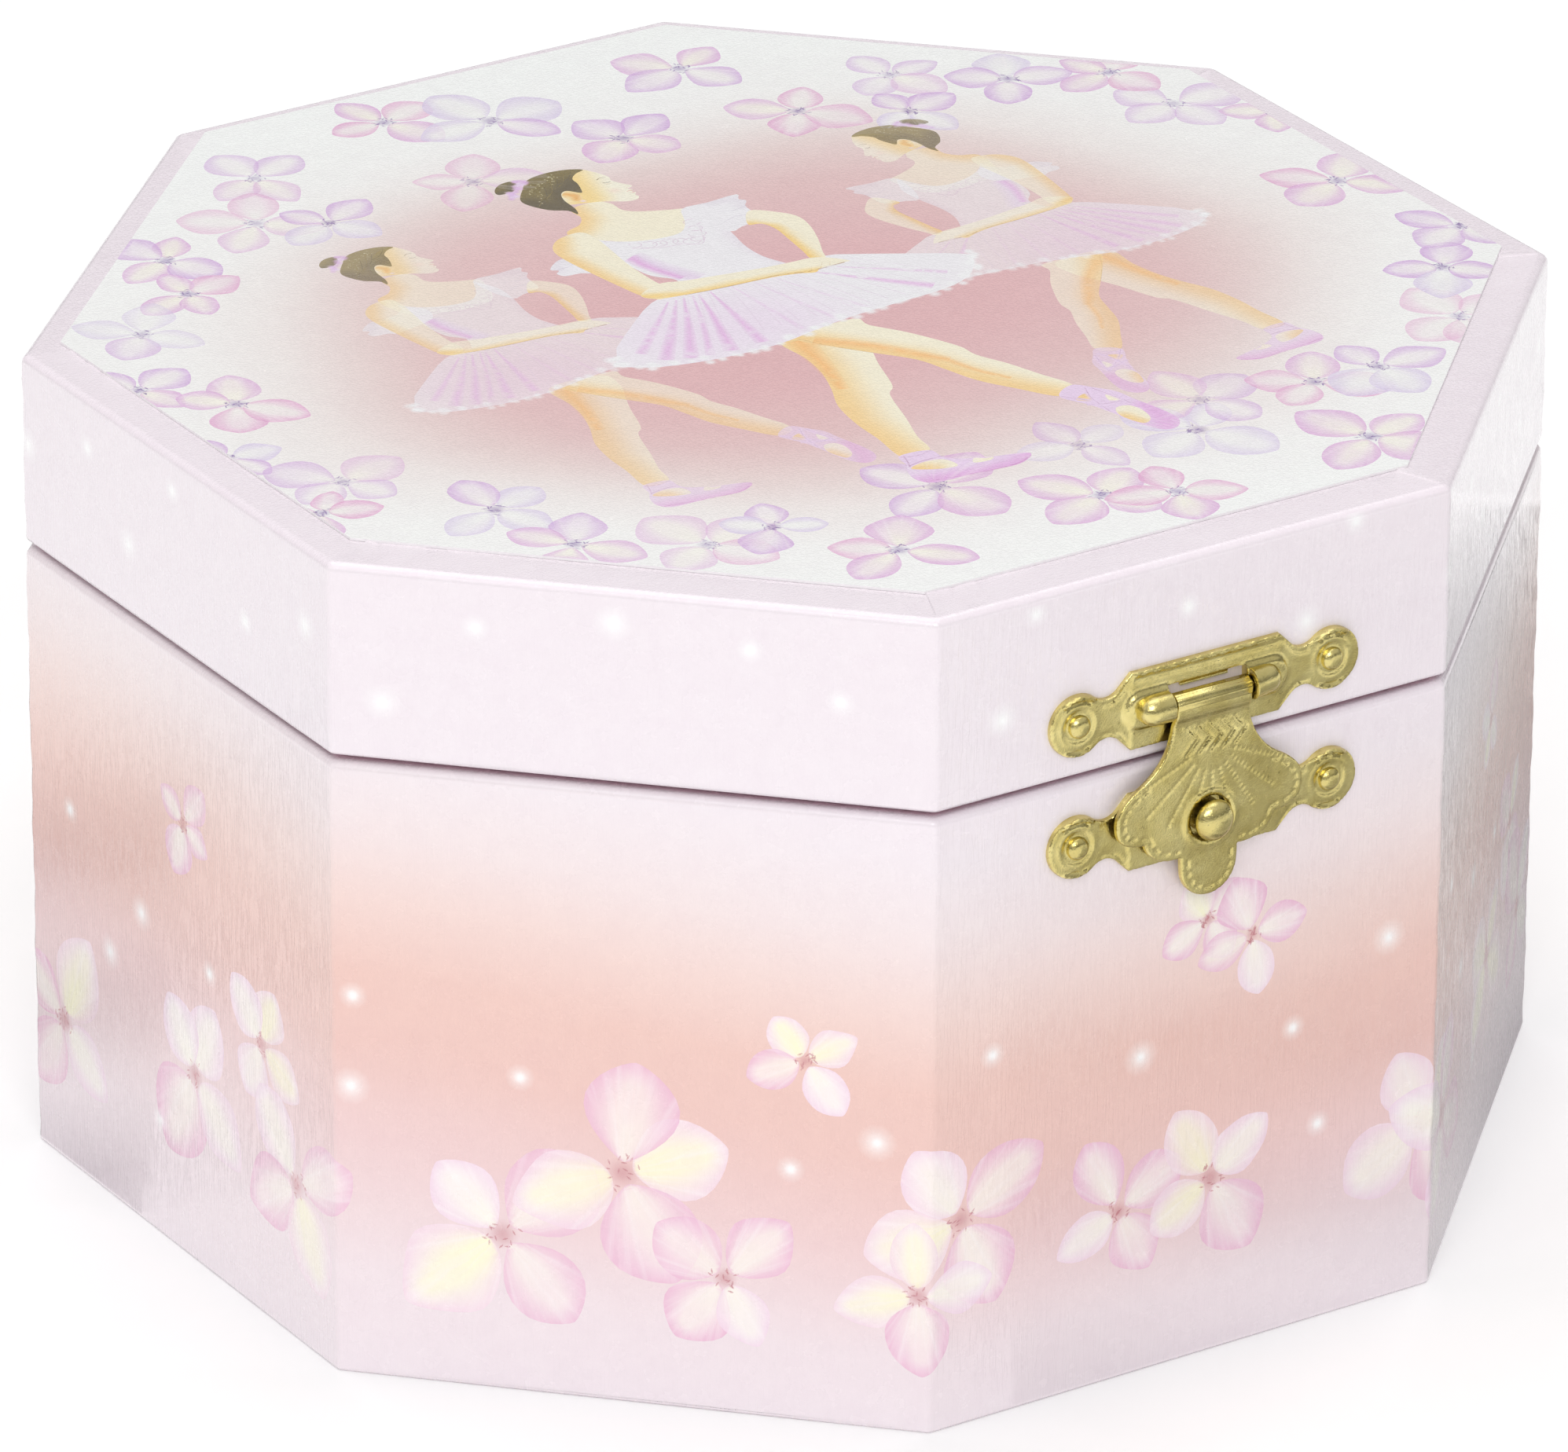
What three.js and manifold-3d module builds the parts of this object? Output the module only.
// Ballerina musical jewellery box: an octagonal paper-covered board box with a hinged lid, a stamped
// hasp latch, a lined interior with a mirror, and a spring-driven music movement that turns a dancer.
// Millimetres. +Z is up, the front (latch) faces -Y, the hinges are at +Y.
// The origin is on the standing surface, under the middle of the box.

import * as THREE from 'three';
import { mergeVertices } from 'three/addons/utils/BufferGeometryUtils.js';
import Module from 'manifold-3d';

const wasm = await Module();
wasm.setup();

// ---------------------------------------------------------------- driving dimensions

const boxWidth = 155;                  // across the flats of the octagon, without latch and hinges
const boxHeight = 94.5;
const seamHeight = 72;                 // where the lid meets the base
const seamGap = 0.8;
const boardThickness = 3;
const topBoardThickness = 2.6;
const pictureThickness = 0.3;
const pictureHalf = 73.2;              // the picture sheet leaves a border of wrapped paper round it
const pictureCentre = [0.7, 2];        // the sheet is glued on a little off centre
const panelGap = 0.1;                  // glue line between a panel and the wall round it
const linerThickness = 1;

const keyRecess = 9.5;                 // height of the bottom panel above the standing surface
const bottomPanelThickness = 2.5;
const floorThickness = 1.5;
const deckTop = 42;
const deckThickness = 2;
const deckFront = 6.3;                 // y of the front of the raised deck
const deckWallThickness = 1.7;
const dividerX = 24;
const dividerThickness = 2;
const dividerTop = 36;
const rollCount = 5;
const rollTop = 31;

const lidLinerThickness = 4;
const lidCeilingThickness = 1.2;
const mirrorHalfWidth = 50;
const mirrorThickness = 1.2;
const mirrorFrameLip = 4;
const mirrorFrameWidth = 10;

const pinHeight = seamHeight;          // hinge pin axis
const knuckleRadius = 1.9;
const hingeReach = 4;                  // how far the knuckles stand out from the back
const hingeOffset = 40;                // distance between the two hinges
const hingeLength = 22;
const leafThickness = 0.8;
const leafHeight = 11;

const latchX = 1;                      // latch centre, a little off the middle of the front
const latchLidHeight = 78.3;
const latchBaseHeight = 64.4;
const plateThickness = 0.6;
const knobReach = 4;                   // how far the catch knob stands out from the front
const haspAxisReach = 1.3;
const haspThickness = 0.6;
const haspBack = 1.2;                  // back of the hanging flap, measured from the front of the box
const nailX = 15.9;

const gearX = -17;                     // mainspring, drive gear and key axis
const gearY = 24;
const arborRadius = 2;
const bedplateThickness = 3;
const spindleModule = 0.5;
const driveTeeth = 52;
const spindleTeeth = 24;
const crownTeeth = 48;
const crownPinionTeeth = 12;
const governorModule = 0.4;
const cylinderGearTeeth = 30;
const governorPinionTeeth = 10;
const governorWheelTeeth = 24;
const wormStarts = 3;
const combNotes = 18;
const dancerTop = 86.2;

// ---------------------------------------------------------------- worked-out values

const halfWidth = boxWidth / 2;
const innerHalf = halfWidth - boardThickness;
const linerOuter = innerHalf - panelGap;
const linerInner = linerOuter - linerThickness;
const roomHalf = linerInner - panelGap;
const baseTop = seamHeight - seamGap / 2;
const lidBottom = seamHeight + seamGap / 2;
const lidTop = boxHeight - pictureThickness;
const lidCeiling = lidTop - topBoardThickness;
const panelTop = keyRecess + bottomPanelThickness;
const floorBottom = panelTop + panelGap;
const floorTop = floorBottom + floorThickness;
const deckBottom = deckTop - deckThickness;
const back = halfWidth;
const front = -halfWidth;
const pinY = back + hingeReach - knuckleRadius;

const bedplateBottom = panelTop + panelGap;
const bedplateTop = bedplateBottom + bedplateThickness;
const housingTop = bedplateTop + 10;
const driveBottom = housingTop + 0.5;
const driveTop = driveBottom + 2.6;
const crownTop = driveTop + 1.5;
const spindleDistance = (driveTeeth + spindleTeeth) * spindleModule / 2;
const spindleX = 0;
const spindleAngle = Math.acos((spindleX - gearX) / spindleDistance);
const spindleY = gearY + spindleDistance * Math.sin(spindleAngle);
const crownMesh = 0.45;                // working depth of the cylinder pinion in the crown teeth
const cylinderZ = crownTop - crownMesh + crownPinionTeeth * spindleModule / 2;
const cylinderStart = gearY + 16;
const cylinderLength = 17;
const cylinderRadius = 5;
const governorDistance = (cylinderGearTeeth + governorPinionTeeth) * governorModule / 2;
const governorAngle = 1.124 * Math.PI;
const governorX = gearX + governorDistance * Math.cos(governorAngle);
const governorZ = cylinderZ + governorDistance * Math.sin(governorAngle);
const governorY = cylinderStart + cylinderLength + 5.2;
const wormRadius = 1.2;
const wormX = governorX - governorWheelTeeth * governorModule / 2 - wormRadius;
const stopRodX = -22;
const stopRodY = back - 6.3;

// ---------------------------------------------------------------- shape helpers

/** A closed geometry as a solid for joining and cutting, with its faces pointing outwards. */
function toSolid(geometry) {
  const plain = geometry.clone();
  plain.deleteAttribute('normal');
  plain.deleteAttribute('uv');
  const merged = mergeVertices(plain, 1e-5);
  const index = Array.from(merged.index.array);
  const vertices = merged.attributes.position.array;
  const kept = [];
  for (let i = 0; i < index.length; i += 3) {
    const [a, b, c] = index.slice(i, i + 3);
    if (a !== b && b !== c && a !== c) kept.push(a, b, c);
  }
  if (signedVolume(vertices, kept) < 0) kept.reverse();
  const mesh = new wasm.Mesh({
    numProp: 3,
    vertProperties: Float32Array.from(vertices),
    triVerts: Uint32Array.from(kept),
  });
  return new wasm.Manifold(mesh);
}

/** Volume enclosed by a triangle list; negative when its faces point inwards. */
function signedVolume(vertices, index) {
  let volume = 0;
  const corners = [new THREE.Vector3(), new THREE.Vector3(), new THREE.Vector3()];
  for (let i = 0; i < index.length; i += 3) {
    corners.forEach((corner, k) => corner.fromArray(vertices, index[i + k] * 3));
    volume += corners[0].dot(corners[1].clone().cross(corners[2])) / 6;
  }
  return volume;
}

function fromSolid(solid) {
  const mesh = solid.getMesh();
  const geometry = new THREE.BufferGeometry();
  geometry.setAttribute('position', new THREE.BufferAttribute(mesh.vertProperties.slice(), 3));
  geometry.setIndex(new THREE.BufferAttribute(mesh.triVerts.slice(), 1));
  return geometry;
}

function join(...geometries) {
  const solids = geometries.map(toSolid);
  return fromSolid(solids.reduce((whole, next) => whole.add(next)));
}

function cut(geometry, ...cutters) {
  const solids = cutters.map(toSolid);
  return fromSolid(solids.reduce((whole, next) => whole.subtract(next), toSolid(geometry)));
}

/** A flat outline raised along Z. */
function raise(shape, bottom, top, curveSegments = 6, steps = 1) {
  const settings = { depth: top - bottom, bevelEnabled: false, curveSegments, steps };
  return new THREE.ExtrudeGeometry(shape, settings).translate(0, 0, bottom);
}

function shapeFrom(points) {
  return new THREE.Shape(points.map(([x, y]) => new THREE.Vector2(x, y)));
}

function roundShape(radius, segments = 24) {
  const points = [];
  for (let i = 0; i < segments; i += 1) {
    const angle = 2 * Math.PI * i / segments;
    points.push([radius * Math.cos(angle), radius * Math.sin(angle)]);
  }
  return shapeFrom(points);
}

function box(x0, x1, y0, y1, z0, z1) {
  const geometry = new THREE.BoxGeometry(x1 - x0, y1 - y0, z1 - z0);
  return geometry.translate((x0 + x1) / 2, (y0 + y1) / 2, (z0 + z1) / 2);
}

/** A round bar along Z. */
function barZ(x, y, z0, z1, radius, segments = 24) {
  return raise(roundShape(radius, segments), z0, z1).translate(x, y, 0);
}

/** A round bar along Y. */
function barY(x, z, y0, y1, radius, segments = 24) {
  return alongY(raise(roundShape(radius, segments), y0, y1)).translate(x, 0, z);
}

/** A round bar along X. */
function barX(y, z, x0, x1, radius, segments = 24) {
  return raise(roundShape(radius, segments), x0, x1).rotateY(Math.PI / 2).translate(0, y, z);
}

/** Turns a shape raised along Z so that it is raised along Y, with its own y up. */
function alongY(geometry) {
  return geometry.rotateX(Math.PI / 2).scale(1, -1, 1);
}

/** A profile of [radius, height] pairs turned about Z. */
function turned(profile, segments = 24) {
  const points = profile.map(([radius, height]) => new THREE.Vector2(radius, height));
  return new THREE.LatheGeometry(points, segments).rotateX(Math.PI / 2);
}

/** A straight round limb between two points, with a ball at its far end. */
function limb(from, to, startRadius, endRadius, segments = 6) {
  const start = new THREE.Vector3(...from);
  const end = new THREE.Vector3(...to);
  const length = start.distanceTo(end);
  const bar = new THREE.CylinderGeometry(endRadius, startRadius, length, segments);
  const direction = end.clone().sub(start).normalize();
  const turn = new THREE.Quaternion().setFromUnitVectors(new THREE.Vector3(0, 1, 0), direction);
  const middle = start.clone().lerp(end, 0.5);
  bar.applyQuaternion(turn).translate(middle.x, middle.y, middle.z);
  return join(bar, ball(to, endRadius, segments));
}

function ball([x, y, z], radius, segments = 8) {
  return new THREE.SphereGeometry(radius, segments, Math.ceil(segments * 0.5)).translate(x, y, z);
}

function octagonPoints(half) {
  const short = half * Math.tan(Math.PI / 8);
  return [[short, -half], [half, -short], [half, short], [short, half],
    [-short, half], [-half, short], [-half, -short], [-short, -half]];
}

function octagonPlate(half, bottom, top) {
  return raise(shapeFrom(octagonPoints(half)), bottom, top);
}

function octagonRing(outer, inner, bottom, top) {
  const shape = shapeFrom(octagonPoints(outer));
  shape.holes.push(shapeFrom(octagonPoints(inner)));
  return raise(shape, bottom, top);
}

/** The part of an octagon in front of (side -1) or behind (side 1) the line y = limit. */
function octagonPart(half, limit, side) {
  const short = half * Math.tan(Math.PI / 8);
  return shapeFrom([[-half, limit], [half, limit], [half, side * short], [short, side * half],
    [-short, side * half], [-half, side * short]]);
}

/** Gear outline with straight-sided teeth; a tooth points along +X at rest turn 0. */
function gearShape(teeth, module, boreRadius, turn = 0) {
  const pitch = 2 * Math.PI / teeth;
  const root = teeth * module / 2 - 1.1 * module;
  const tip = teeth * module / 2 + 0.75 * module;
  const points = [];
  for (let i = 0; i < teeth; i += 1) {
    const middle = turn + i * pitch;
    for (const [radius, share] of [[root, -0.24], [tip, -0.1], [tip, 0.1], [root, 0.24]]) {
      const angle = middle + share * pitch;
      points.push([radius * Math.cos(angle), radius * Math.sin(angle)]);
    }
  }
  const shape = shapeFrom(points);
  shape.holes.push(roundShape(boreRadius, 16));
  return shape;
}

// ---------------------------------------------------------------- materials

const materials = {
  paper: { color: 0xe9c4bd, roughness: 0.35, metalness: 0 },
  print: { color: 0xf0dbe2, roughness: 0.25, metalness: 0 },
  card: { color: 0xd9c8b8, roughness: 0.9, metalness: 0 },
  lining: { color: 0xf2c6d2, roughness: 0.9, metalness: 0 },
  velvet: { color: 0xd98fa8, roughness: 1, metalness: 0 },
  mirror: { color: 0xdfe6ea, roughness: 0.02, metalness: 1 },
  brass: { color: 0xd9c878, roughness: 0.3, metalness: 1 },
  steel: { color: 0xb9bcc0, roughness: 0.3, metalness: 1 },
  zinc: { color: 0x9a9da0, roughness: 0.5, metalness: 0.9 },
  plastic: { color: 0xf4f1ec, roughness: 0.4, metalness: 0 },
  figure: { color: 0xf1cdb4, roughness: 0.45, metalness: 0 },
  tulle: { color: 0xf6e3ee, roughness: 0.9, metalness: 0 },
};

const model = new THREE.Group();

function add(name, geometry, material) {
  const solid = fromSolid(toSolid(geometry));
  const mesh = new THREE.Mesh(solid, new THREE.MeshStandardMaterial(materials[material]));
  mesh.name = name;
  model.add(mesh);
}

// ---------------------------------------------------------------- fastener places

const nails = {
  latch_nail_base_left: [latchX - nailX, latchBaseHeight],
  latch_nail_base_right: [latchX + nailX, latchBaseHeight],
  latch_nail_lid_left: [latchX - nailX, latchLidHeight],
  latch_nail_lid_right: [latchX + nailX, latchLidHeight],
};
const nailShankRadius = 0.5;
const nailLength = 2.4;
const shankClearance = 0.1;
const movementScrews = { movement_screw_front: [-32, 14], movement_screw_rear: [5, 62] };
const movementScrewRadius = 1.2;
const combScrewPlaces = { comb_screw_front: 43.5, comb_screw_rear: 53.5 };
const combScrewX = 3;

function nailHoles() {
  return Object.values(nails).map(([x, z]) => (
    barY(x, z, front - 1, front + nailLength + 0.1, nailShankRadius + shankClearance, 8)));
}

function screwHoles(radius, bottom, top) {
  return Object.values(movementScrews).map(([x, y]) => barZ(x, y, bottom, top, radius, 12));
}

// ---------------------------------------------------------------- case

function addBase() {
  add('base_shell', cut(octagonRing(halfWidth, innerHalf, 0, baseTop), ...nailHoles()), 'paper');
  const panel = cut(
    octagonPlate(linerOuter, keyRecess, panelTop),
    barZ(gearX, gearY, keyRecess - 1, panelTop + 1, arborRadius + 1.2, 16),
    ...screwHoles(movementScrewRadius + shankClearance, keyRecess - 1, panelTop + 1),
  );
  add('bottom_panel', panel, 'card');
  add('base_liner', octagonRing(linerOuter, linerInner, floorBottom, baseTop - 0.4), 'lining');
  add('compartment_floor', raise(octagonPart(roomHalf, deckFront - panelGap, -1), floorBottom, floorTop),
    'velvet');
}

function addDeck() {
  const holeReach = deckTop + 1;
  const deck = cut(
    raise(octagonPart(roomHalf, deckFront, 1), deckBottom, deckTop),
    barZ(spindleX, spindleY, deckBottom - 1, holeReach, 1.6, 16),
    barZ(stopRodX, stopRodY, deckBottom - 1, holeReach, 1.2, 12),
  );
  add('deck_panel', deck, 'velvet');
  add('deck_front_wall', box(-roomHalf, roomHalf, deckFront, deckFront + deckWallThickness, floorBottom,
    deckBottom - panelGap), 'velvet');
}

function addDividers() {
  const frontEnd = -linerInner + panelGap;
  for (const [name, side] of [['divider_left', -1], ['divider_right', 1]]) {
    const middle = side * dividerX;
    add(name, box(middle - dividerThickness / 2, middle + dividerThickness / 2, frontEnd,
      deckFront - 2 * panelGap, floorTop + panelGap, dividerTop), 'velvet');
  }
}

/** Padded rolls that hold rings in the slots between them. */
function addRingRolls() {
  const bayFront = -linerInner + 0.4;
  const pitch = (deckFront - 0.4 - bayFront) / rollCount;
  const halfThickness = pitch / 2 - 0.35;
  const halfLength = dividerX - dividerThickness / 2 - 0.5;
  const bottom = floorTop + 0.3;
  const shoulder = rollTop - halfThickness;
  for (let i = 0; i < rollCount; i += 1) {
    const outline = new THREE.Shape();
    outline.moveTo(-halfThickness, bottom);
    outline.lineTo(halfThickness, bottom);
    outline.lineTo(halfThickness, shoulder);
    outline.absarc(0, shoulder, halfThickness, 0, Math.PI, false);
    const roll = raise(outline, -halfLength, halfLength, 8);
    roll.rotateX(Math.PI / 2).rotateZ(Math.PI / 2).translate(0, bayFront + (i + 0.5) * pitch, 0);
    add(`ring_roll_${i + 1}`, roll, 'velvet');
  }
}

function addLid() {
  const shell = join(
    octagonRing(halfWidth, innerHalf, lidBottom, lidCeiling),
    octagonPlate(halfWidth, lidCeiling, lidTop),
  );
  add('lid_shell', cut(shell, ...nailHoles()), 'paper');
  const picture = octagonPlate(pictureHalf, lidTop, boxHeight);
  add('lid_picture', picture.translate(...pictureCentre, 0), 'print');
  const linerCeiling = lidCeiling - lidCeilingThickness;
  const liner = join(
    octagonRing(linerOuter, linerOuter - lidLinerThickness, lidBottom + 0.2, linerCeiling),
    octagonPlate(linerOuter, linerCeiling, lidCeiling - panelGap),
  );
  add('lid_liner', liner, 'lining');
  addMirror(linerCeiling - panelGap);
}

/** The mirror lies against the lid lining, held by a padded frame whose lip covers its edge. */
function addMirror(top) {
  const mirrorBottom = top - mirrorThickness;
  add('mirror', octagonPlate(mirrorHalfWidth, mirrorBottom, top), 'mirror');
  const frame = join(
    octagonRing(mirrorHalfWidth + mirrorFrameWidth - mirrorFrameLip, mirrorHalfWidth + 0.2,
      mirrorBottom - 0.1, top),
    octagonRing(mirrorHalfWidth + mirrorFrameWidth - mirrorFrameLip, mirrorHalfWidth - mirrorFrameLip,
      mirrorBottom - 1.3, mirrorBottom - 0.1),
  );
  add('mirror_frame', frame, 'lining');
}

// ---------------------------------------------------------------- hinges

/** Places of one hinge's knuckles along X: [start, end] pairs for the base leaf and the lid leaf. */
function knuckles(middle) {
  const end = hingeLength / 2;
  const third = hingeLength / 6;
  const gap = 0.15;
  return {
    base: [[middle - end, middle - third - gap], [middle + third + gap, middle + end]],
    lid: [[middle - third + gap, middle + third - gap]],
  };
}

function hingeLeaf(middle, spans, side) {
  const plateEnd = pinHeight + side * (knuckleRadius + 0.4);
  const plateTip = pinHeight + side * (leafHeight + 1);
  const [low, high] = [Math.min(plateEnd, plateTip), Math.max(plateEnd, plateTip)];
  let leaf = box(middle - hingeLength / 2, middle + hingeLength / 2, back, back + leafThickness, low, high);
  for (const [start, end] of spans) {
    const [from, to] = [Math.min(plateEnd, pinHeight) - 0.01, Math.max(plateEnd, pinHeight) + 0.01];
    leaf = join(leaf, box(start, end, back + 0.05, back + leafThickness, from, to));
    leaf = join(leaf, barX(pinY, pinHeight, start, end, knuckleRadius, 20));
  }
  return cut(leaf, barX(pinY, pinHeight, middle - hingeLength, middle + hingeLength, 0.9, 16));
}

function addHinges() {
  for (const [name, side] of [['left', -1], ['right', 1]]) {
    const middle = side * hingeOffset / 2;
    const spans = knuckles(middle);
    add(`hinge_base_leaf_${name}`, hingeLeaf(middle, spans.base, -1), 'brass');
    add(`hinge_lid_leaf_${name}`, hingeLeaf(middle, spans.lid, 1), 'brass');
    const reach = hingeLength / 2 + 0.4;
    add(`hinge_pin_${name}`, barX(pinY, pinHeight, middle - reach, middle + reach, 0.8, 16), 'brass');
  }
}

// ---------------------------------------------------------------- latch

/** Outline of a stamped latch plate: a chamfered body with a necked round lobe at each end. */
function latchPlateShape() {
  const [bodyHalf, bodyHeight] = [9.3, 4.4];
  const [neckX, neckHeight] = [11, 2.7];
  const lobeRadius = 3.5;
  const lobeStart = 2.3;
  const joinX = nailX + lobeRadius * Math.cos(lobeStart);
  const joinHeight = lobeRadius * Math.sin(lobeStart);
  const shape = new THREE.Shape();
  shape.moveTo(-bodyHalf, bodyHeight);
  shape.lineTo(-neckX, neckHeight);
  shape.quadraticCurveTo(-(neckX + joinX) / 2, neckHeight - 0.9, -joinX, joinHeight);
  shape.absarc(-nailX, 0, lobeRadius, Math.PI - lobeStart, Math.PI + lobeStart, false);
  shape.quadraticCurveTo(-(neckX + joinX) / 2, -neckHeight + 0.9, -neckX, -neckHeight);
  shape.lineTo(-bodyHalf, -bodyHeight);
  shape.lineTo(bodyHalf, -bodyHeight);
  shape.lineTo(neckX, -neckHeight);
  shape.quadraticCurveTo((neckX + joinX) / 2, -neckHeight + 0.9, joinX, -joinHeight);
  shape.absarc(nailX, 0, lobeRadius, -lobeStart, lobeStart, false);
  shape.quadraticCurveTo((neckX + joinX) / 2, neckHeight - 0.9, neckX, neckHeight);
  shape.lineTo(bodyHalf, bodyHeight);
  return shape;
}

/** Stands a latch shape against the front of the box; depths are measured outwards from the front. */
function onFront(shape, height, depth0, depth1, curveSegments = 8) {
  const standing = raise(shape, -depth1, -depth0, curveSegments);
  return alongY(standing).translate(latchX, front, height);
}

function addLatchPlates() {
  const rivet = barY(latchX, latchBaseHeight, front - 2, front + 1, 1.2, 16);
  const basePlate = cut(onFront(latchPlateShape(), latchBaseHeight, 0, plateThickness), ...nailHoles(),
    rivet);
  add('latch_base_plate', basePlate, 'brass');

  const lidShape = latchPlateShape();
  const [windowHalf, windowLow, windowHigh] = [4.9, -2.2, 2];
  lidShape.holes.push(shapeFrom([[-windowHalf, windowLow], [windowHalf, windowLow],
    [windowHalf, windowHigh], [-windowHalf, windowHigh]]));
  let lidPlate = onFront(lidShape, latchLidHeight, 0, plateThickness);
  const axisY = front - haspAxisReach;
  for (const side of [-1, 1]) {
    const [near, far] = [latchX + side * 5.1, latchX + side * 8.3];
    const housing = limb([near, axisY, latchLidHeight], [far, axisY, latchLidHeight], 1.7, 1.7, 12);
    const overWindow = box(Math.min(near, latchX + side * 3), Math.max(near, latchX + side * 3),
      axisY - 4, axisY + 4, latchLidHeight - 4, latchLidHeight + 4);
    const behindPlate = box(latchX - 12, latchX + 12, front - 0.3, front + 4, latchLidHeight - 4,
      latchLidHeight + 4);
    const pinBore = barX(axisY, latchLidHeight, Math.min(near - 1, far), Math.max(near + 1, far), 1, 16);
    lidPlate = join(lidPlate, cut(housing, overWindow, behindPlate));
    lidPlate = cut(lidPlate, pinBore);
  }
  add('latch_lid_plate', cut(lidPlate, ...nailHoles()), 'brass');
}

/** Outline of the hasp flap below its hinge roll: scalloped shell with a round tongue. */
function haspShape() {
  const drop = latchLidHeight;
  const shape = new THREE.Shape();
  const [waist, shoulder, tongue] = [4.7, 11.7, 3.5];
  shape.moveTo(-waist, 78 - drop);
  shape.lineTo(-waist, 76.2 - drop);
  shape.quadraticCurveTo(-5.2, 71.6 - drop, -9.4, 69.4 - drop);
  shape.quadraticCurveTo(-shoulder - 0.2, 67.8 - drop, -shoulder, 65.8 - drop);
  shape.quadraticCurveTo(-shoulder, 63.2 - drop, -8.2, 63.1 - drop);
  shape.quadraticCurveTo(-7.4, 60.3 - drop, -3.6, 60.5 - drop);
  shape.lineTo(-tongue, 59 - drop);
  shape.absarc(0, 59 - drop, tongue, Math.PI, 2 * Math.PI, false);
  shape.lineTo(3.6, 60.5 - drop);
  shape.quadraticCurveTo(7.4, 60.3 - drop, 8.2, 63.1 - drop);
  shape.quadraticCurveTo(shoulder, 63.2 - drop, shoulder, 65.8 - drop);
  shape.quadraticCurveTo(shoulder + 0.2, 67.8 - drop, 9.4, 69.4 - drop);
  shape.quadraticCurveTo(5.2, 71.6 - drop, waist, 76.2 - drop);
  shape.lineTo(waist, 78 - drop);
  const hole = new THREE.Path();
  hole.absarc(0, latchBaseHeight - drop, 2.5, 0, 2 * Math.PI, true);
  shape.holes.push(hole);
  return shape;
}

function addHasp() {
  const axisY = front - haspAxisReach;
  const flap = join(
    onFront(haspShape(), latchLidHeight, haspBack, haspBack + haspThickness),
    barX(axisY, latchLidHeight, latchX - 4.7, latchX + 4.7, 1.2, 20),
  );
  add('hasp_flap', cut(flap, barX(axisY, latchLidHeight, latchX - 6, latchX + 6, 0.8, 16)), 'brass');
  add('hasp_pin', barX(axisY, latchLidHeight, latchX - 7.8, latchX + 7.8, 0.7, 16), 'brass');

  const knob = turned([[0, -1.5], [1.1, -1.5], [1.1, plateThickness + 0.05], [1.8, plateThickness + 0.05],
    [1.8, 1.9], [2.2, 2.2], [2.3, 2.6], [2.1, 3.2], [1.5, 3.75], [0.7, knobReach], [0, knobReach]], 20);
  add('latch_knob', cutIntoWall(knob), 'brass');

  for (const [name, [x, z]] of Object.entries(nails)) {
    const nail = turned([[0, -nailLength], [nailShankRadius, -nailLength], [nailShankRadius, 0.65],
      [1.3, 0.65], [1.1, 1.1], [0.6, 1.4], [0, 1.5]], 12);
    add(name, nail.rotateX(Math.PI / 2).translate(x, front, z), 'brass');
  }
}

/** The knob's rivet end stops at the back of its plate, against the board. */
function cutIntoWall(knob) {
  const standing = knob.rotateX(Math.PI / 2).translate(latchX, front, latchBaseHeight);
  return cut(standing, box(-9, 9, front - 0.02, front + 4, latchBaseHeight - 5, latchBaseHeight + 5));
}

// ---------------------------------------------------------------- music movement

function addKey() {
  const wing = new THREE.Shape();
  wing.moveTo(-3, 6.6);
  wing.quadraticCurveTo(-6, 8.2, -9, 7.6);
  wing.quadraticCurveTo(-12.5, 5.4, -9.5, 2);
  wing.quadraticCurveTo(-6, 1.2, 0, 3.2);
  wing.quadraticCurveTo(6, 1.2, 9.5, 2);
  wing.quadraticCurveTo(12.5, 5.4, 9, 7.6);
  wing.quadraticCurveTo(6, 8.2, 3, 6.6);
  const bow = alongY(raise(wing, -0.9, 0.9)).translate(gearX, gearY, 0);
  const collar = barZ(gearX, gearY, 3, 8.6, 3.3, 16);
  const bore = barZ(gearX, gearY, 4.6, 9, arborRadius + 0.1, 16);
  add('winding_key', cut(join(bow, collar), bore), 'zinc');
  add('winding_arbor', barZ(gearX, gearY, 4.9, driveTop + 0.8, arborRadius, 16), 'steel');
}

function addBedplate() {
  const [left, right, near, far] = [-36, 10, 9, 68];
  const outline = shapeFrom([[left, near], [right, near], [right, far], [-19, far], [-19, 73], [-25, 73],
    [-25, far], [-30, far], [left, 62]]);
  const plate = raise(outline, bedplateBottom, bedplateTop);
  const combBlock = box(-1, 7, cylinderStart + 0.2, cylinderStart + cylinderLength - 0.2,
    bedplateTop - 1, cylinderZ - 0.4);
  const spindleBoss = barZ(spindleX, spindleY, bedplateTop - 1, bedplateTop + 5, 2.8, 16);
  const fanBoss = barZ(wormX, governorY, bedplateTop - 1, bedplateTop + 1.5, 1.6, 12);
  const above = cylinderZ + 5;
  const holes = [
    barZ(gearX, gearY, bedplateBottom - 1, above, arborRadius + 0.2, 16),
    barZ(spindleX, spindleY, bedplateTop, above, 1.3, 16),
    barZ(wormX, governorY, bedplateTop - 1, above, 0.7, 12),
    barZ(stopRodX, stopRodY, bedplateBottom - 1, above, 1, 12),
    ...screwHoles(movementScrewRadius + shankClearance, bedplateBottom - 1, bedplateTop + 1),
    ...Object.values(combScrewPlaces).map((y) => barZ(combScrewX, y, cylinderZ - 5, above, 1.1, 12)),
  ];
  add('bedplate', cut(join(plate, combBlock, spindleBoss, fanBoss), ...holes), 'zinc');
}

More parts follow.
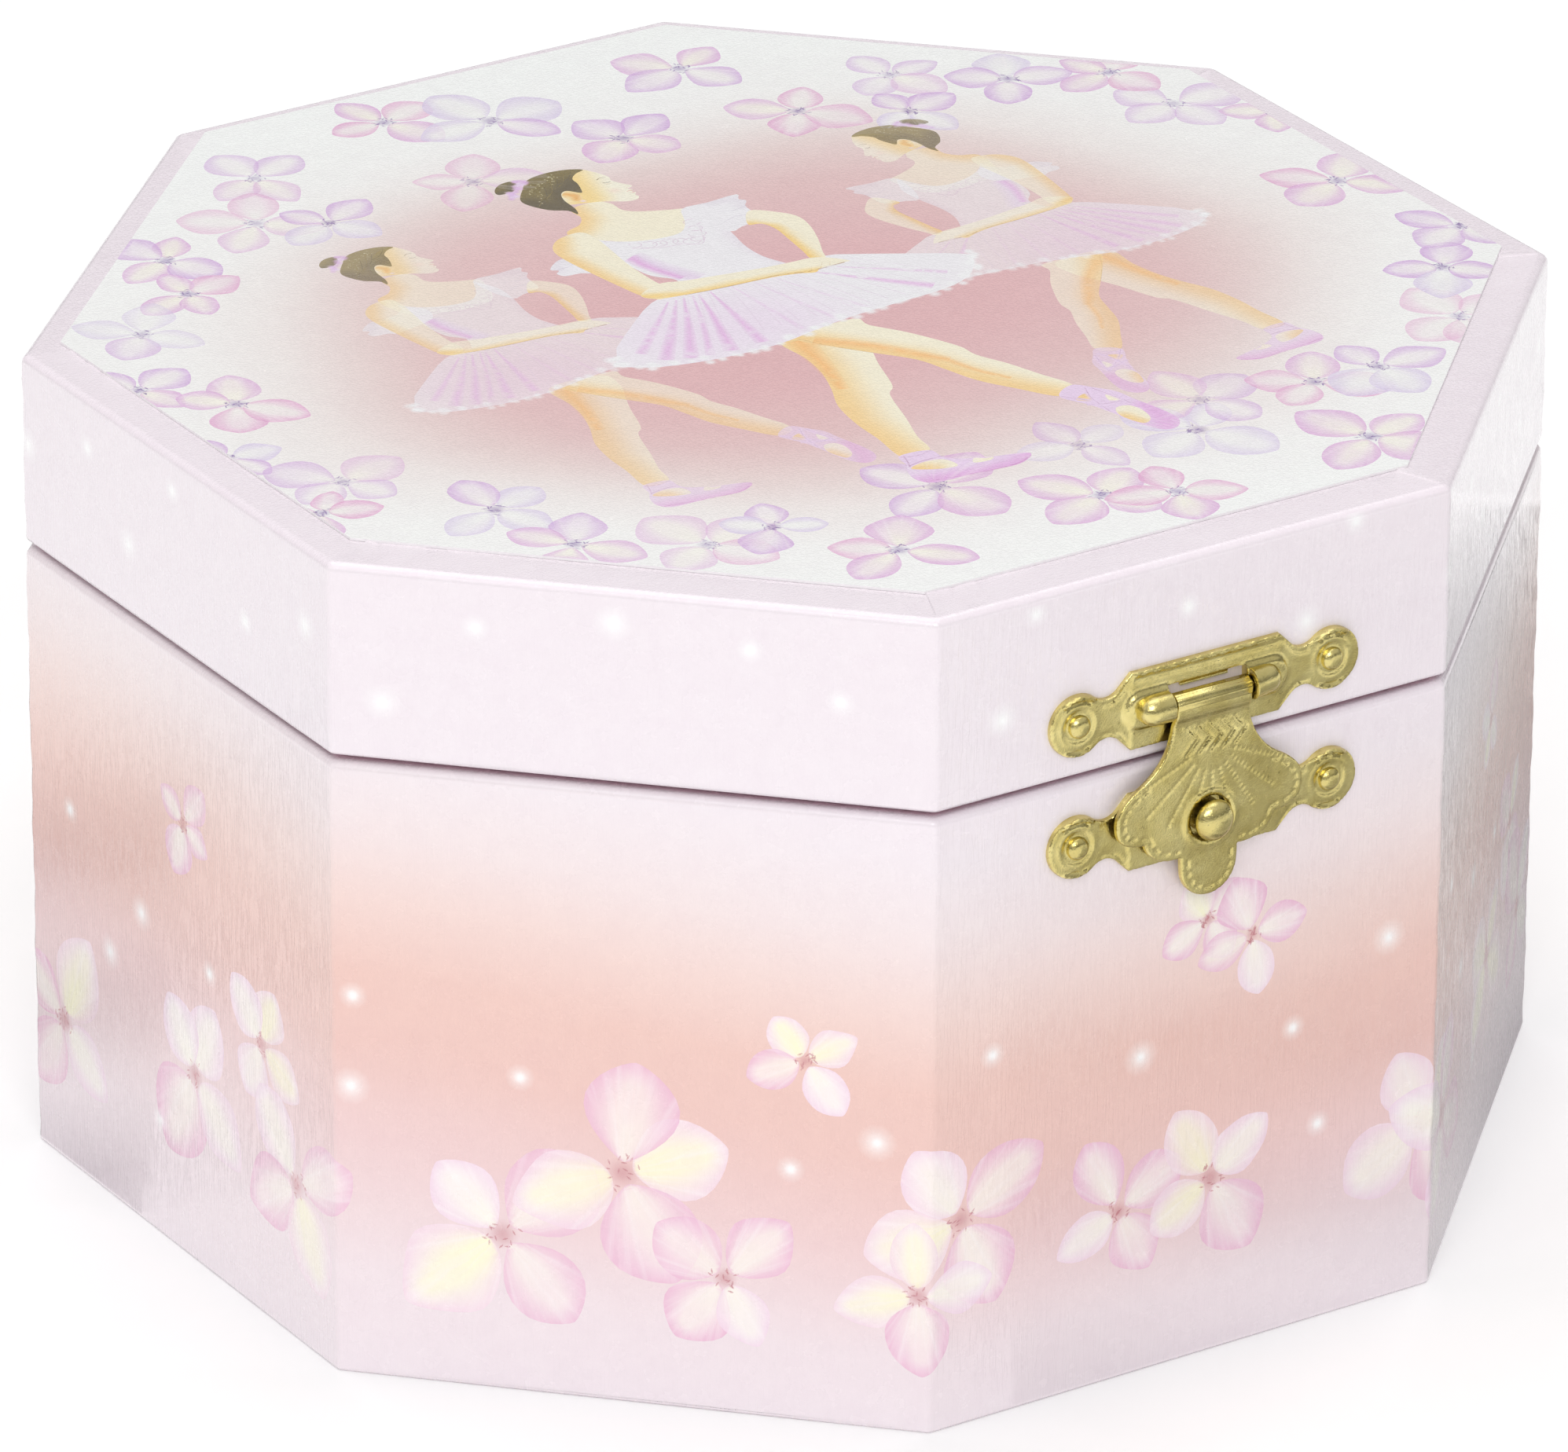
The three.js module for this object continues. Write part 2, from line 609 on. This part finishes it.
/** A flat steel ribbon wound in a spiral between the arbor and the housing wall. */
function mainspringShape() {
  const [turns, inner, outer, thickness] = [5, 3, 10.8, 0.35];
  const steps = turns * 14;
  const inside = [];
  const outside = [];
  for (let i = 0; i <= steps; i += 1) {
    const angle = 2 * Math.PI * turns * i / steps;
    const radius = inner + (outer - inner) * i / steps;
    inside.push([radius * Math.cos(angle), radius * Math.sin(angle)]);
    outside.push([(radius + thickness) * Math.cos(angle), (radius + thickness) * Math.sin(angle)]);
  }
  return shapeFrom([...inside, ...outside.reverse()]);
}

function addSpring() {
  const [outer, wall] = [12.4, 1];
  const housing = turned([[outer - wall, bedplateTop + 0.1], [outer, bedplateTop + 0.1],
    [outer, housingTop - 0.8], [outer - 0.8, housingTop], [arborRadius + 0.3, housingTop],
    [arborRadius + 0.3, housingTop - wall], [outer - wall, housingTop - wall],
    [outer - wall, bedplateTop + 0.1]], 32);
  add('spring_housing', housing.translate(gearX, gearY, 0), 'zinc');
  const spring = raise(mainspringShape(), bedplateTop + 0.6, housingTop - wall - 0.6);
  add('mainspring', spring.translate(gearX, gearY, 0), 'steel');
}

/** Spur teeth for the dancer's pinion, and crown teeth on top for the cylinder's pinion. */
function addDriveGear() {
  const spur = raise(gearShape(driveTeeth, spindleModule, arborRadius + 0.15, spindleAngle), driveBottom,
    driveTop);
  const pitch = 2 * Math.PI / crownTeeth;
  const [inner, outer] = [10.9, 12.3];
  let gear = toSolid(spur);
  for (let i = 0; i < crownTeeth; i += 1) {
    const root = 0.46 * pitch * 11.6 / 2;
    const tip = 0.2 * pitch * 11.6 / 2;
    const outline = shapeFrom([[-root, driveTop - 0.2], [root, driveTop - 0.2], [tip, crownTop],
      [-tip, crownTop]]);
    const tooth = alongY(raise(outline, inner, outer)).rotateZ(i * pitch);
    gear = gear.add(toSolid(tooth));
  }
  add('drive_gear', fromSolid(gear).translate(gearX, gearY, 0), 'brass');
}

function addSpindle() {
  add('spindle', barZ(spindleX, spindleY, bedplateTop + 0.2, deckTop + 2, 1.2, 16), 'steel');
  const turn = spindleAngle + Math.PI + Math.PI / spindleTeeth;
  const pinion = raise(gearShape(spindleTeeth, spindleModule, 1.3, turn), driveBottom + 0.2,
    driveTop - 0.2);
  add('spindle_pinion', pinion.translate(spindleX, spindleY, 0), 'plastic');
}

function addCylinder() {
  const end = cylinderStart + cylinderLength;
  const barrel = join(
    barY(gearX, cylinderZ, cylinderStart, end, cylinderRadius, 32),
    barY(gearX, cylinderZ, gearY + 9.8, governorY - 0.9, 1, 16),
  );
  let solid = toSolid(barrel);
  const pinsPerTrack = 3;
  const notePitch = cylinderLength / combNotes;
  for (let note = 0; note < combNotes; note += 1) {
    for (let k = 0; k < pinsPerTrack; k += 1) {
      const angle = 2 * Math.PI * ((note * 5 + k * 11) % 37) / 37 + k;
      const pin = box(cylinderRadius - 0.4, cylinderRadius + 0.5, -0.17, 0.17, -0.17, 0.17);
      pin.rotateY(angle).translate(gearX, cylinderStart + (note + 0.5) * notePitch, cylinderZ);
      solid = solid.add(toSolid(pin));
    }
  }
  add('pinned_cylinder', fromSolid(solid), 'brass');

  const pinionTurn = -Math.PI / 2 + Math.PI / crownPinionTeeth;
  const pinion = raise(gearShape(crownPinionTeeth, spindleModule, 1.05, pinionTurn), gearY + 10.9,
    gearY + 12.7);
  add('cylinder_pinion', alongY(pinion).translate(gearX, 0, cylinderZ), 'brass');
  const gear = raise(gearShape(cylinderGearTeeth, governorModule, 1.05, governorAngle), end + 1.5,
    end + 3);
  add('cylinder_gear', alongY(gear).translate(gearX, 0, cylinderZ), 'brass');
}

function addCylinderBrackets() {
  const places = {
    cylinder_bracket_front: cylinderStart - 2,
    cylinder_bracket_rear: cylinderStart + cylinderLength + 0.3,
  };
  for (const [name, y] of Object.entries(places)) {
    const shape = shapeFrom([[-3.5, bedplateTop + 0.1], [3.5, bedplateTop + 0.1], [3.5, cylinderZ],
      [2, cylinderZ + 2.6], [-2, cylinderZ + 2.6], [-3.5, cylinderZ]]);
    const plate = alongY(raise(shape, y, y + 0.9)).translate(gearX, 0, 0);
    add(name, cut(plate, barY(gearX, cylinderZ, y - 1, y + 2, 1.1, 16)), 'steel');
  }
}

/** Tuned steel comb: bass teeth are long, treble teeth short. */
function addComb() {
  const [tipX, backX] = [gearX + cylinderRadius + 0.75, 7];
  const pitch = cylinderLength / combNotes;
  const points = [[backX, cylinderStart + 0.3]];
  for (let note = 0; note < combNotes; note += 1) {
    const middle = cylinderStart + (note + 0.5) * pitch;
    const rootX = -2 - 2.5 * note / combNotes;
    points.push([rootX, middle - 0.32], [tipX, middle - 0.22], [tipX, middle + 0.22], [rootX, middle + 0.32]);
  }
  points.push([backX, cylinderStart + cylinderLength - 0.3]);
  const [bottom, top] = [cylinderZ - 0.3, cylinderZ + 0.5];
  const holes = Object.values(combScrewPlaces).map((y) => barZ(combScrewX, y, bottom - 1, top + 1, 1.1, 12));
  add('comb', cut(raise(shapeFrom(points), bottom, top), ...holes), 'steel');
  for (const [name, y] of Object.entries(combScrewPlaces)) {
    const screw = join(
      barZ(combScrewX, y, top + 0.05, top + 1.4, 1.9, 16),
      barZ(combScrewX, y, bottom - 3.5, top + 0.5, 1, 12),
    );
    const slot = box(combScrewX - 3, combScrewX + 3, y - 0.25, y + 0.25, top + 0.9, top + 2);
    add(name, cut(screw, slot), 'steel');
  }
}

/** The air-brake train: a pinion and worm wheel on one shaft, and the fan with its worm. */
function addGovernor() {
  const gearPlane = cylinderStart + cylinderLength + 1.5;
  const pinionTurn = governorAngle + Math.PI + Math.PI / governorPinionTeeth;
  const pinion = alongY(raise(gearShape(governorPinionTeeth, governorModule, 0.3, pinionTurn),
    gearPlane, gearPlane + 1.5));
  const wheelTurn = Math.PI + Math.PI / governorWheelTeeth;
  const wheel = alongY(raise(gearShape(governorWheelTeeth, governorModule, 0.3, wheelTurn),
    governorY - 0.6, governorY + 0.6));
  const shaft = barY(0, 0, gearPlane - 2.4, governorY + 2.9, 0.6, 12);
  const train = join(pinion, wheel, shaft).translate(governorX, 0, governorZ);
  add('governor_wheel', train, 'brass');

  const fan = join(
    barZ(0, 0, bedplateTop + 0.2, cylinderZ + 5.4, 0.6, 12),
    wormThread(governorZ - 3.8, governorZ + 3.8),
    barZ(0, 0, bedplateTop + 3.6, bedplateTop + 8.6, 1.1, 12),
    box(-4, 4, -0.3, 0.3, bedplateTop + 4, bedplateTop + 8.4),
  );
  add('governor_fan', fan.translate(wormX, governorY, 0), 'plastic');
  addGovernorBracket(gearPlane);
}

/** Three-start right-hand screw thread about Z. */
function wormThread(bottom, top) {
  const [core, crest] = [0.8, 1.5];
  const points = [];
  const perStart = 4;
  const count = wormStarts * perStart;
  for (let i = 0; i < count; i += 1) {
    const wave = Math.max(0, Math.cos(2 * Math.PI * i / perStart));
    const radius = core + (crest - core) * wave;
    points.push([radius * Math.cos(2 * Math.PI * i / count), radius * Math.sin(2 * Math.PI * i / count)]);
  }
  const lead = wormStarts * Math.PI * governorModule;
  const thread = raise(shapeFrom(points), bottom, top, 6, 20);
  const position = thread.attributes.position;
  const point = new THREE.Vector3();
  const axis = new THREE.Vector3(0, 0, 1);
  for (let i = 0; i < position.count; i += 1) {
    point.fromBufferAttribute(position, i);
    point.applyAxisAngle(axis, 2 * Math.PI * (point.z - governorZ) / lead);
    position.setXYZ(i, point.x, point.y, point.z);
  }
  return thread;
}

/** Two cheeks for the governor shaft, joined by a roof that carries the fan's upper bearing. */
function addGovernorBracket(gearPlane) {
  const roofBottom = cylinderZ + 4.2;
  const roofTop = roofBottom + 1;
  const [cheekLeft, cheekRight] = [governorX - 1.4, governorX + 1.6];
  const rearCheek = governorY + 1.6;
  const bracket = join(
    box(cheekLeft, cheekRight, rearCheek, rearCheek + 1, bedplateTop + 0.1, roofTop),
    box(wormX - 2, cheekRight, governorY - 1.6, rearCheek + 1, roofBottom, roofTop),
    box(cheekLeft, cheekRight, gearPlane - 2, gearPlane - 1.1, governorZ - 2, roofTop),
    box(cheekLeft, cheekRight, gearPlane - 2, governorY, roofBottom, roofTop),
  );
  add('governor_bracket', cut(
    bracket,
    barY(governorX, governorZ, gearPlane - 4, governorY + 4, 0.75, 12),
    barZ(wormX, governorY, roofBottom - 1, roofTop + 1, 0.75, 12),
  ), 'steel');
}

function addMovementScrews() {
  for (const [name, [x, y]] of Object.entries(movementScrews)) {
    const screw = turned([[0, keyRecess - 1.9], [2, keyRecess - 1.7], [2.6, keyRecess - 0.9],
      [2.6, keyRecess - 0.05], [movementScrewRadius, keyRecess - 0.05],
      [movementScrewRadius, bedplateTop - 0.6], [0, bedplateTop - 0.6]], 16);
    const slot = box(-4, 4, -0.3, 0.3, keyRecess - 3, keyRecess - 1.3);
    add(name, cut(screw, slot).translate(x, y, 0), 'steel');
  }
}

/** Rod that the closing lid pushes down; its arm then stops the fan. */
function addStopRod() {
  const armHeight = bedplateTop + 9.5;
  const rod = join(
    barZ(stopRodX, stopRodY, bedplateTop - 2, lidBottom - 0.1, 0.8, 12),
    limb([stopRodX, stopRodY, armHeight], [wormX + 2.2, governorY + 2.6, armHeight], 0.6, 0.6, 8),
  );
  add('stop_rod', rod, 'steel');
}

// ---------------------------------------------------------------- dancer

const standTop = deckTop + 2.6;
const springTop = standTop + 7;
const hipHeight = springTop + 13.8;
const waistHeight = hipHeight + 2.8;
const neckHeight = waistHeight + 6.6;

function addDancerStand() {
  const stand = turned([[0, deckTop + 0.5], [6.6, deckTop + 0.5], [6.6, standTop - 0.5],
    [6.1, standTop], [0, standTop]], 28);
  const bore = barZ(0, 0, deckTop, deckTop + 2.1, 1.3, 16);
  add('dancer_stand', cut(stand, bore).translate(spindleX, spindleY, 0), 'plastic');

  const [turns, radius, wire] = [5, 1.7, 0.35];
  const points = [];
  const steps = turns * 8;
  const rise = springTop - standTop - 0.2 - 2 * wire;
  for (let i = 0; i <= steps; i += 1) {
    const angle = 2 * Math.PI * turns * i / steps;
    const height = standTop + 0.1 + wire + rise * i / steps;
    points.push(new THREE.Vector3(radius * Math.cos(angle), radius * Math.sin(angle), height));
  }
  const coil = new THREE.ExtrudeGeometry(roundShape(wire, 6), {
    steps, extrudePath: new THREE.CatmullRomCurve3(points), bevelEnabled: false,
  });
  add('dancer_spring', coil.translate(spindleX, spindleY, 0), 'steel');
}

/** A plain doll on one pointed foot, the other foot drawn up to the knee, arms rounded overhead. */
function addDancer() {
  const kneeHeight = springTop + 7;
  const shoulder = neckHeight - 1;
  const headHeight = neckHeight + 3.1;
  const torso = turned([[0, hipHeight - 1.8], [1.5, hipHeight - 1.2], [2.1, hipHeight],
    [1.9, hipHeight + 1.2], [1.45, waistHeight], [1.75, waistHeight + 2.2], [2.2, waistHeight + 4],
    [1.9, shoulder - 0.2], [0.9, shoulder + 0.7], [0.75, neckHeight + 1.2], [0, neckHeight + 1.6]], 14);
  const parts = [
    torso,
    turned([[0, springTop + 0.1], [1.5, springTop + 0.1], [1.5, springTop + 0.9], [0, springTop + 0.9]], 12),
    limb([0, 0, springTop + 0.9], [0, 0, springTop + 2.4], 0.55, 0.75),
    limb([0, 0, springTop + 2.4], [0.4, 0, kneeHeight], 0.75, 1.05),
    limb([0.4, 0, kneeHeight], [0.9, 0, hipHeight], 1.05, 1.35),
    limb([-0.9, 0, hipHeight], [-4.6, -2.6, kneeHeight + 2], 1.35, 1),
    limb([-4.6, -2.6, kneeHeight + 2], [-0.4, -1.3, kneeHeight - 0.4], 1, 0.6),
    ball([0, -0.2, headHeight], 2.15, 10),
    ball([0, 1.2, headHeight + 1.9], 1.05, 8),
  ];
  for (const side of [-1, 1]) {
    const elbow = [side * 4.4, -1.2, shoulder + 4.4];
    parts.push(limb([side * 1.9, 0, shoulder - 0.4], elbow, 0.65, 0.55));
    parts.push(limb(elbow, [side * 2.2, -2, dancerTop - 1.4], 0.55, 0.42));
    parts.push(limb([side * 2.2, -2, dancerTop - 1.4], [side * 0.9, -2.1, dancerTop - 0.45], 0.42, 0.35));
  }
  add('dancer_figure', join(...parts).translate(spindleX, spindleY, 0), 'figure');

  const skirt = turned([[2.4, waistHeight - 0.9], [12.6, waistHeight - 2.6], [12.8, waistHeight - 1.6],
    [2.4, waistHeight + 0.3], [2.4, waistHeight - 0.9]], 24);
  add('dancer_skirt', skirt.translate(spindleX, spindleY, 0), 'tulle');
}

// ---------------------------------------------------------------- assembly

addBase();
addDeck();
addDividers();
addRingRolls();
addLid();
addHinges();
addLatchPlates();
addHasp();
addKey();
addBedplate();
addSpring();
addDriveGear();
addSpindle();
addCylinder();
addCylinderBrackets();
addComb();
addGovernor();
addMovementScrews();
addStopRod();
addDancerStand();
addDancer();

export default model;
